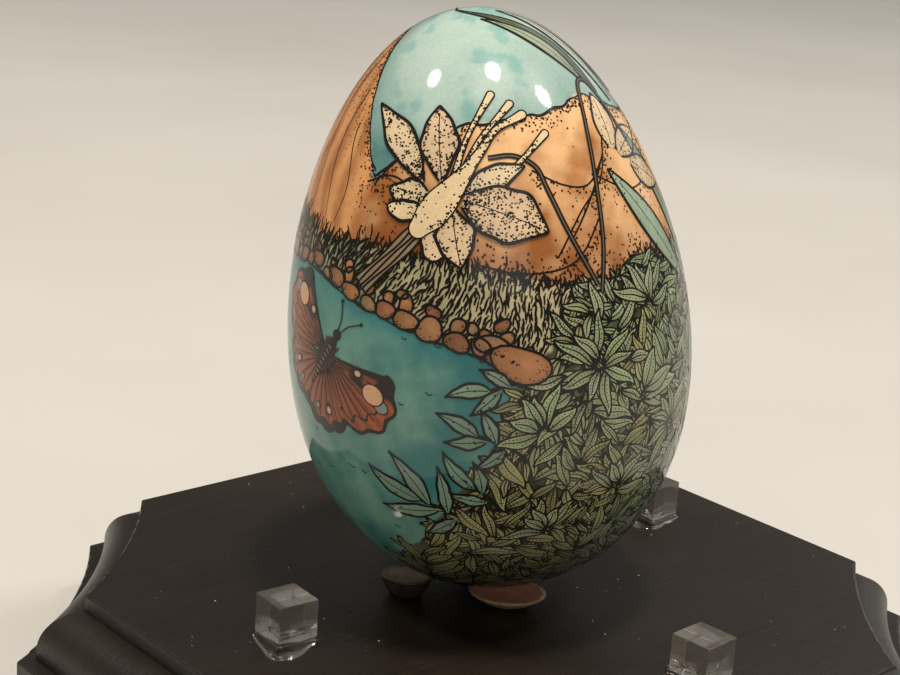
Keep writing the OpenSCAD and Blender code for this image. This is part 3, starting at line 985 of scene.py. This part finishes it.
# seed dots over the meadow
for _ in range(620):
    d = rng.uniform(-40, 178)
    s = GRASS(deg(d)) + rng.exponential(1.7) + 0.2
    if s < RIDGE(deg(d)) - 1:
        ink.disc((d, s), rng.uniform(0.11, 0.2), 0.031, n=6)

fill.build("painted_patches", PATCH)
ink.build("ink_drawing", INKED)
leaf_fill.build("painted_leaves", PATCH)
leaf_ink.build("ink_leaves", INKED)


# ---- board, plug, cubes, glue, feet
plug = Mat("filler", Roughness=0.6)
plug.colour(plug.ramp(plug.noise(1500.0), (0.62, 0.57, 0.47), (0.80, 0.75, 0.64)))
plug.bump(plug.noise(2500.0), 0.3, 0.0001)
for node, material in (("base_board", BOARD), ("blow_hole_plug", plug.m)):
    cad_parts[node].material_slots[0].material = material


def clear_cube(key):
    """A clear cube with fine bevels."""
    x, y, turn = CUBES[key]
    bm = bmesh.new()
    bmesh.ops.create_cube(bm, size=CUBE * MM)
    bmesh.ops.bevel(bm, geom=bm.edges[:], offset=0.09 * MM, segments=3, profile=0.5, affect="EDGES")
    place = Matrix.Translation((x * MM, y * MM, (TOP + CUBE / 2) * MM + 2e-6))
    bm.transform(place @ Matrix.Rotation(deg(turn), 4, "Z"))
    me = bpy.data.meshes.new("clear_cube_" + key)
    bm.to_mesh(me)
    bm.free()
    o = piece("clear_cube_" + key, me, ACRYLIC, "stand")
    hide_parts("cube_" + key)


def circle(x, y, r, z, t):
    """Points in mm at angles t round (x, y), at radius r and height z."""
    return np.stack([x + r * np.cos(t), y + r * np.sin(t), np.broadcast_to(z, t.shape)], 1)


def glue_bead(key, seed, lobe, reach):
    """A meniscus that climbs the cube's foot, with a run-out to one side."""
    g = np.random.default_rng(seed)
    x, y, turn = CUBES[key]
    na, nr = 72, 9
    t = np.arange(na) * TAU / na
    square = t - deg(turn)
    inner = (CUBE / 2 + 0.01) / np.maximum(np.abs(np.cos(square)), np.abs(np.sin(square)))
    outer = 4.55 + sum(a * np.sin(f * t + g.uniform(0, 6)) for a, f in ((0.27, 2), (0.22, 5), (0.12, 9)))
    run = np.exp(-(np.angle(np.exp(1j * (t - deg(lobe)))) / 0.55) ** 2)
    outer = np.maximum(outer + reach * run, inner + 0.35)
    high = 0.50 + 0.30 * run + 0.12 * np.sin(3 * t + g.uniform(0, 6))
    pts = []
    for u in np.linspace(0, 1, nr)[:-1]:
        climb = high * (1 - u) ** 1.3 * (1 - 0.25 * u)
        puddle = 0.16 * math.sqrt(1 - u ** 6) * (1 - u * 0.2) + 0.10 * run * math.sin(math.pi * u)
        pts.append(circle(x, y, inner + (outer - inner) * u, TOP + climb + puddle, t))
    for r, z in ((outer, TOP + 0.012), (outer, LIE), (inner, LIE)):
        pts.append(circle(x, y, r, z, t))
    faces = wall_faces(len(pts), na, closed=True)
    o = make_mesh("glue_bead_" + key, np.vstack(pts), faces, GLUE, "stand")
    bm = bmesh.new()
    bm.from_mesh(o.data)
    bmesh.ops.recalc_face_normals(bm, faces=bm.faces)
    bm.to_mesh(o.data)
    bm.free()
    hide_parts("bead_" + key)


for key, seed, lobe, reach in (("w", 3, 232, 2.6), ("s", 5, 172, 2.0), ("e", 8, 212, 2.4),
                               ("n", 13, 236, 2.2)):
    clear_cube(key)
    glue_bead(key, seed, lobe, reach)


def dish_foot(key, seed, inner_tone, outer_tone):
    """A little half shell, hollow side up: an oval rim, ribbed outside and smooth inside."""
    x, y, r0, h = FEET[key]
    base, wall, ribs = 2.2, 0.7, 26
    na, nr = 120, 14
    t = np.arange(na) * TAU / na
    rib = np.cos(ribs * t)
    rim = r0 * (1 - 0.09 * (1 + np.cos(2 * (t - deg(47))))) * (1 - 0.012 * (1 + rib))
    pts, col = [], []
    for u in np.linspace(0, 1, nr):              # outside, from the base to the rim
        r = base + (rim - base) * u + 0.06 * rib * u * (1 - u) * 2
        pts.append(circle(x, y, r, LIE + h * (0.30 * u + 0.70 * u ** 2), t))
        band = 0.86 + 0.16 * math.sin(u * 21 + seed) + 0.08 * rib
        col.append(np.array(outer_tone) * band[:, None])
    for u in np.linspace(1, 0, nr):              # inside, from the rim to the middle
        z = h * (0.34 + 0.66 * u ** 2) if u < 1 else h
        pts.append(circle(x, y, np.maximum((rim - wall) * u, 0.05), LIE + z, t))
        # the inside gets darker towards the middle of the hollow and lighter towards the rim
        hollow_fade = 0.80 + 0.28 * u + 0.05 * math.sin(u * 17)
        col.append(np.broadcast_to(np.array(inner_tone) * hollow_fade, (na, 3)))
    rows = len(pts)
    faces = wall_faces(rows, na)
    faces += [list(range(na))[::-1], [(rows - 1) * na + j for j in range(na)]]
    colour = np.clip(np.vstack(col), 0, 1)
    o = make_mesh("foot_shell_" + key, np.vstack(pts), faces, SHELL, "stand", colour)
    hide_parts("foot_" + key)


dish_foot("front", 2, (0.80, 0.40, 0.26), (0.62, 0.46, 0.26))
# painted shade: the left foot's outside is near black, for the shadow under the egg
dish_foot("left", 4, (0.50, 0.41, 0.31), (0.05, 0.034, 0.024))
dish_foot("back", 6, (0.78, 0.56, 0.42), (0.50, 0.36, 0.22))


def dust():
    """Specks of pale dust lying on the painted board."""
    g = np.random.default_rng(21)
    pts, faces, n = [], [], 6
    for _ in range(110):
        x, y = g.uniform(-52, 52, 2)
        if abs(x) + abs(y) > 78:
            continue
        r = g.uniform(0.05, 0.10) if g.random() < 0.8 else g.uniform(0.12, 0.2)
        k = len(pts)
        a = g.uniform(0, TAU) + np.arange(n) * TAU / n
        pts += [*circle(x, y, r * g.uniform(0.7, 1.3, n), LIE, a), (x, y, LIE + r * 0.7)]
        faces += [[k + j, k + (j + 1) % n, k + n] for j in range(n)]
        faces.append([k + j for j in range(n)][::-1])
    m = Mat("dust", Roughness=0.9)
    m.colour(m.ramp(m.noise(900.0), (0.50, 0.47, 0.41), (0.75, 0.71, 0.64)))
    make_mesh("dust_specks", pts, faces, m.m, "stand")


dust()


# ---- floor, light and camera
def floor():
    """A plain matt floor just under the board."""
    bpy.ops.mesh.primitive_plane_add(size=6.0, location=(0, 0, -0.0002))
    o = bpy.context.object
    o.name = "floor"
    m = Mat("floor_paper", Roughness=0.85)
    m.colour(m.ramp(m.noise(6.0, 3.0), (0.57, 0.55, 0.51), (0.62, 0.60, 0.56)))
    m.bump(m.noise(700.0, 2.0), 0.05, 0.0002)
    o.data.materials.append(m.m)


def lamp(name, place, size, power, colour, shape="DISK"):
    """An area lamp that looks at the middle of the object."""
    d = bpy.data.lights.new(name, "AREA")
    d.shape, d.size, d.energy, d.color = shape, size, power, colour
    o = put(name, d)
    o.location = place
    o.rotation_mode = "QUATERNION"
    o.rotation_quaternion = (Vector((0, 0, 0.06)) - Vector(place)).to_track_quat("-Z", "Y")


floor()
# three warm ceiling lamps, which make the three glints on the varnish, and two soft ones
for name, x, y, power in (("left", -0.77, 0.55, 10), ("mid", -0.03, -0.22, 17), ("right", 0.69, -0.70, 9)):
    lamp("lamp_" + name, (x, y, 1.55), 0.22, power, (1.0, 0.93, 0.84))
lamp("soft_key", (-1.2, -1.7, 1.3), 1.5, 7, (1.0, 0.98, 0.95), shape="SQUARE")
lamp("soft_fill", (1.7, 0.2, 0.9), 1.3, 3, (0.96, 0.98, 1.0), shape="SQUARE")

world = bpy.data.worlds.new("studio")
bpy.context.scene.world = world
world.use_nodes = True
sky = world.node_tree.nodes["Background"].inputs
sky["Color"].default_value = (0.86, 0.84, 0.80, 1)
sky["Strength"].default_value = 0.16

cam_data = bpy.data.cameras.new("camera")
cam = put("camera", cam_data)
cam_data.sensor_width, cam_data.lens = 36.0, 72.0
cam_data.clip_start, cam_data.clip_end = 0.01, 20
fwd = Vector((0.6518, 0.7015, -0.2882)).normalized()
level = fwd.cross(Vector((0, 0, 1))).normalized()
roll = deg(4.1)
right = level * math.cos(roll) + level.cross(fwd) * math.sin(roll)
back = -fwd
up = back.cross(right)
place = Vector((-181.2, -181.5, 115.2 + TOP)) * MM
cam.matrix_world = Matrix([(right[i], up[i], back[i], place[i]) for i in range(3)] + [(0, 0, 0, 1)])
bpy.context.scene.camera = cam
bpy.context.scene.view_settings.view_transform = "Standard"
